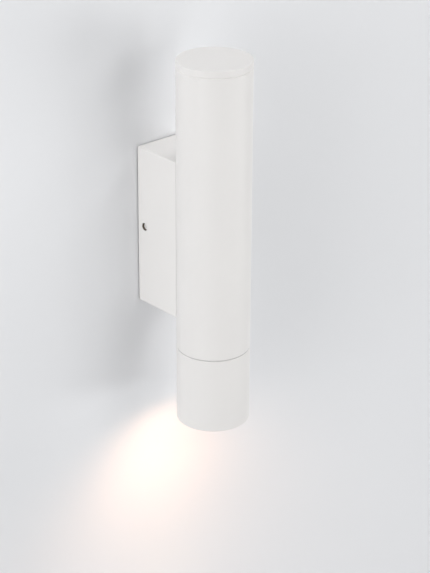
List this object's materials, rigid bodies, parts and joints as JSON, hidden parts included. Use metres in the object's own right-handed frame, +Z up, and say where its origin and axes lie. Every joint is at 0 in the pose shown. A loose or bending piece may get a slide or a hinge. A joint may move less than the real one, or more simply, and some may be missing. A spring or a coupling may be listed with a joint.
{
  "type": "tube wall light",
  "caption": "Round tube on a saddle-cut wall box, closed at the top and open at the foot, lighting downwards; a short lower sleeve unscrews to reach the lamp.",
  "frame": {"origin": "on the wall face, at the centre of the wall box and midway between the two wall slots", "axes": "+Z up along the tube, +Y into the wall, -Y out into the room, +X to the right seen from the room"},
  "size_m": [0.06, 0.097, 0.309],
  "materials": {
    "white_coat": "warm white polyester powder coat on aluminium, satin with a very fine texture",
    "zinc_steel": "zinc-plated pressed steel",
    "bright_steel": "zinc-plated steel screws and washers",
    "bare_aluminium": "turned aluminium, uncoated",
    "brass": "plain brass",
    "tinned_copper": "tin-plated copper",
    "nickel_pins": "nickel-plated brass pins",
    "black_rubber": "matt black silicone or foam rubber",
    "white_rubber": "warm white silicone rubber",
    "terminal_nylon": "natural moulded nylon",
    "lamp_plastic": "white moulded lamp housing",
    "lamp_lens": "frosted polycarbonate lens, lit warm white",
    "steatite": "unglazed steatite ceramic",
    "brown_lead": "brown silicone insulation",
    "blue_lead": "blue silicone insulation",
    "green_lead": "green and yellow silicone insulation",
    "clear_sleeve": "translucent nylon connector covers"
  },
  "bodies": {
    "fixture": {"wall_gasket": "black_rubber", "wall_bracket": "zinc_steel", "cable_grommet": "black_rubber", "terminal_block": "terminal_nylon", "terminal_barrels": "brass", "terminal_screws": "bright_steel", "box_housing": "white_coat", "side_screws": "white_coat", "tube_screws": "bright_steel", "tube_washers": "bright_steel", "tube_nut": "bare_aluminium", "earth_screw": "brass", "earth_lug": "tinned_copper", "lead_bush": "black_rubber", "live_lead": "brown_lead", "neutral_lead": "blue_lead", "earth_lead": "green_lead", "upper_tube": "white_coat", "top_cap": "white_coat", "cap_oring": "black_rubber", "lamp_carrier": "bare_aluminium", "holder_body": "steatite", "holder_back": "steatite", "holder_contacts": "brass", "holder_screws": "bright_steel", "lead_sleeves": "clear_sleeve"},
    "seam_ring": {"seam_ring": "white_rubber"},
    "sleeve": {"lower_sleeve": "white_coat"},
    "lamp": {"lamp_body": "lamp_plastic", "lamp_lens": "lamp_lens", "lamp_pins": "nickel_pins"}
  },
  "joints": [
    {"name": "sleeve_drop", "type": "slide", "parent": "fixture", "child": "seam_ring", "axis": [0, 0, -1], "range_m": [0, 0.009]},
    {"name": "sleeve_turn", "type": "hinge", "parent": "seam_ring", "child": "sleeve", "pos_m": [0, -0.067, -0.0925], "axis": [0, 0, -1], "range_deg": [0, 2160]},
    {"name": "lamp_twist", "type": "hinge", "parent": "fixture", "child": "lamp", "pos_m": [0, -0.067, -0.1015], "axis": [0, 0, -1], "range_deg": [0, 30]}
  ],
  "couplings": [
    {"joint": "sleeve_drop", "follows": "sleeve_turn", "m_per_rad": 0.00023873}
  ]
}
